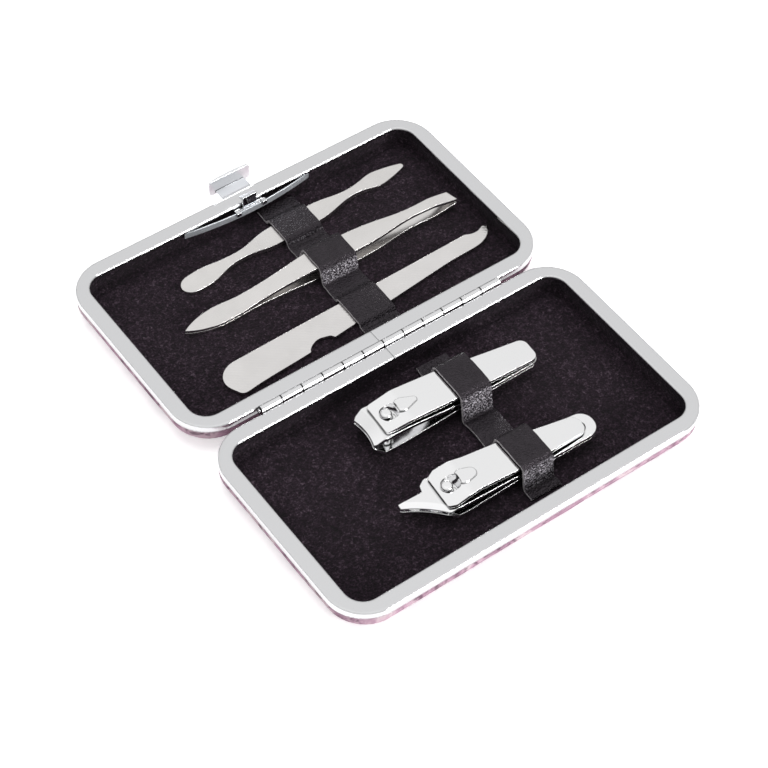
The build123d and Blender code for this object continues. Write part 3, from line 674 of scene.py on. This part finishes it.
def strap_outline(width, thickness, soft):
    """Cross-section of a strap: x across it, n out from its inner face, with soft corners."""
    half = width / 2
    nick = soft * 0.3
    steps = 14
    across = [half - soft - (width - 2 * soft) * index / steps for index in range(steps + 1)]
    top = [(x, thickness) for x in across]
    bottom = [(x, 0.0) for x in reversed(across)]
    left = [(-half + nick, thickness - nick), (-half, thickness - soft), (-half, soft), (-half + nick, nick)]
    right = [(half - nick, nick), (half, soft), (half, thickness - soft), (half - nick, thickness - nick)]
    return top + left + bottom + right


def edge_wander(strap, x, at):
    """How far a cut edge strays sideways; the strap's middle stays."""
    if abs(x) < STRAP_STIFF_SHARE * strap.width / 2:
        return 0.0
    side = 1 if x > 0 else -1
    return side * ripples((0, at.y, at.z), STRAP_EDGE_WAVES[side])


def strap_point(strap, x, n, at, normal):
    """Point of a strap's surface, pinched at its stitches and slightly uneven everywhere."""
    outer = n / STRAP_THICKNESS
    near = min(abs(at.y - row) for row in strap.rows)
    pinch = max(0.0, 1 - near / PINCH_REACH) ** 2
    pucker = pinch * outer * (PINCH_MEAN + PINCH_SWING * math.sin(2 * math.pi * x / STITCH_PITCH))
    lift = ripples((x, at.y, at.z), STRAP_WAVES) * outer
    out = at + normal * (n * (1 - pucker) + lift)
    return strap.place(x + edge_wander(strap, x, at), out.y, out.z)


def make_strap(strap):
    """Leather strip bent over the tools, puckered along the rows of stitches that hold it down."""
    line = rounded_path(strap.points, STRAP_BEND, STRAP_STEP)
    section = strap_outline(strap.width, STRAP_THICKNESS, STRAP_SOFT_EDGE)
    points = []
    for index, at in enumerate(line):
        ahead = line[min(index + 1, len(line) - 1)]
        behind = line[max(index - 1, 0)]
        along = (ahead - behind).normalized()
        normal = Vector((0, -along.z, along.y))
        points += [strap_point(strap, x, n, at, normal) for x, n in section]
    count = len(section)
    faces = tube_faces(len(line), count) + [first_face(count), last_face(len(line), count)]
    piece = mesh_piece(f"{strap.node}_leather", points, faces, leather)
    piece.data.materials.append(cut_edge)
    faces_sideways = 0.75
    for face in piece.data.polygons:
        face.material_index = 1 if abs(face.normal.x) > faces_sideways else 0
    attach(piece, f"{strap.half}_half")
    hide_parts(strap.node)
    for row in strap.rows:
        make_stitches(strap, row)


def make_stitches(strap, row):
    """One row of short stitches across a strap, sunk in its face."""
    made = bmesh.new()
    gaps = int((strap.width - 2 * STITCH_MARGIN) / STITCH_PITCH)
    lie = Matrix.Rotation(-strap.turn, 4, "Z") @ Matrix.Rotation(math.radians(90), 4, "Y")
    longer = Matrix.Diagonal((1, 1, STITCH_LENGTH / STITCH_RADIUS / 2, 1))
    for index in range(gaps + 1):
        across = (index - gaps / 2) * STITCH_PITCH
        wander = ripples((across, row, 0), STITCH_WAVES)
        place = Matrix.Translation(strap.place(across, row + wander, lining_top + STITCH_HEIGHT))
        bmesh.ops.create_uvsphere(made, u_segments=8, v_segments=6, radius=STITCH_RADIUS,
                                  matrix=place @ lie @ longer)
    mesh = bpy.data.meshes.new(f"{strap.half}_stitches")
    made.to_mesh(mesh)
    made.free()
    piece = show(mesh, thread)
    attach(piece, f"{strap.half}_half")


# ---------------------------------------------------------------- the clasp's leaf spring
def make_spring_half(name, side):
    """Half of the leaf spring, bowed from its middle at the clasp to its end behind the lip."""
    low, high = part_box("clasp_spring")
    middle = high.y - SPRING_BOW
    steps = 26
    points = []
    for index in range(steps + 1):
        share = index / steps
        x = side * SPRING_HALF * share
        face = middle + SPRING_BOW * share ** 2
        inwards = Vector((2 * SPRING_BOW * share / SPRING_HALF * side, -1.0)).normalized()
        for depth, height in ((0, low.z), (0, high.z), (SPRING_SHEET, high.z), (SPRING_SHEET, low.z)):
            points.append(Vector((x + inwards.x * depth, face + inwards.y * depth, height)))
    faces = tube_faces(steps + 1, 4) + [first_face(4), last_face(steps + 1, 4)]
    if side > 0:
        faces = [tuple(reversed(face)) for face in faces]
    piece = mesh_piece(name, points, faces, spring_steel, smooth=False)
    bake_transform(piece)
    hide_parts("clasp_spring")


# ---------------------------------------------------------------- the soft pieces, put in place
front_strap = Strap(
    "front", at_hinge=9.85, turn=1.5, width=9.5, rows=(-56.6, -40.9, -30.6, -13.7),
    path=((-59.4, 0.02), (-55.6, 0.02), (-54.4, 7.75), (-43.4, 7.75), (-42.2, 0.02), (-38.8, 0.15),
          (-35.4, 0.75), (-32.2, 0.5), (-29.4, 0.02), (-27.9, 8.8), (-16.45, 8.8), (-14.95, 0.02),
          (-12.4, 0.1), (-8.8, 0.9)),
)
rear_strap = Strap(
    "rear", at_hinge=6.95, turn=1.2, width=11.7, rows=(58.5, 45.4, 42.2, 24.2, 10.3),
    path=((9.0, 0.02), (11.7, 0.02), (12.3, 1.2), (22.2, 1.2), (22.85, 0.02), (29.7, 0.02), (31.2, 5.4),
          (39.26, 5.4), (40.76, 0.02), (46.9, 0.02), (47.9, 1.8), (56.2, 1.8), (57.3, 0.02), (62.5, 0.02)),
)
for half in SIDES:
    make_skin(half)
    make_lining_wall(half)
    make_lining_floor(half)
make_strap(front_strap)
make_strap(rear_strap)
make_spring_half("clasp_spring_left", -1)
make_spring_half("clasp_spring_right", 1)


# ---------------------------------------------------------------- stage, light and camera
def make_floor():
    """Pale floor that is close to white in the picture and in metal, and keeps the shadow."""
    reach = 3.0
    drop = 0.02 * MM
    corners = [(-reach, -reach, 0), (reach, -reach, 0), (reach, reach, 0), (-reach, reach, 0)]
    shader = Shader("pale_floor")
    rays = shader.add("LightPath").outputs
    shown = shader.math("MAXIMUM", rays["Is Camera Ray"], shader.mirrored(rays))
    shader.set(
        base_color=(0.96, 0.96, 0.96, 1),
        roughness=0.9,
        specular_ior_level=0.0,
        emission_color=(1, 1, 1, 1),
        emission_strength=shader.math("MULTIPLY", shown, 0.5),
    )
    floor = mesh_piece("floor", corners, [(0, 1, 2, 3)], shader.material)
    floor.location.z = -drop


def make_world():
    """Studio: white to the camera and an even grey as light.

    Metal and glass see it by height, from the horizon (0) to straight up (1): a grey band low
    down and pale above, so that plate shows a tone.
    """
    levels = ((0.0, 0.55), (0.10, 0.16), (0.28, 0.34), (0.42, 0.95), (0.6, 0.80), (0.8, 0.86), (1.0, 1.0))
    world = bpy.data.worlds.new("studio")
    scene.world = world
    world.use_nodes = True
    world.node_tree.nodes.clear()
    nodes = Nodes(world.node_tree)
    height = nodes.axis(nodes.add("TexCoord").outputs["Generated"], "Z")
    studio = nodes.colours(height, *[(position, (level, level, level)) for position, level in levels])
    rays = nodes.add("LightPath").outputs
    unseen = nodes.mix(nodes.mirrored(rays), (0.52, 0.52, 0.52), studio)
    colour = nodes.mix(rays["Is Camera Ray"], unseen, (1, 1, 1))
    background = nodes.add("Background", {"Color": colour})
    nodes.add("OutputWorld", {"Surface": background.outputs[0]})


def make_lamp(name, at, size, power, mirrored=False):
    """Rectangular lamp aimed at the frame's origin; only a mirrored one shows in metal."""
    data = bpy.data.lights.new(name, "AREA")
    data.shape = "RECTANGLE"
    data.size, data.size_y = size
    data.energy = power
    lamp = link(bpy.data.objects.new(name, data))
    lamp.location = at
    lamp.rotation_mode = "QUATERNION"
    lamp.rotation_quaternion = (-Vector(at)).to_track_quat("-Z", "Y")
    lamp.visible_glossy = mirrored


def make_camera():
    data = bpy.data.cameras.new("camera")
    data.sensor_width = SENSOR_WIDTH
    data.lens = CAMERA_LENS
    data.clip_start = 0.01
    camera = link(bpy.data.objects.new("camera", data))
    level = CAMERA_LOOK.to_track_quat("-Z", "Y")
    roll = Matrix.Rotation(CAMERA_ROLL, 4, CAMERA_LOOK.normalized()).to_quaternion()
    camera.rotation_mode = "QUATERNION"
    camera.rotation_quaternion = roll @ level
    camera.location = CAMERA_AT
    scene.camera = camera


make_floor()
make_world()
make_lamp("overhead_softbox", at=(0.1, 0.25, 0.9), size=(0.8, 0.6), power=4.5)
make_lamp("front_softbox", at=(0.28, -0.76, 0.24), size=(0.40, 0.20), power=4.0, mirrored=True)
make_camera()
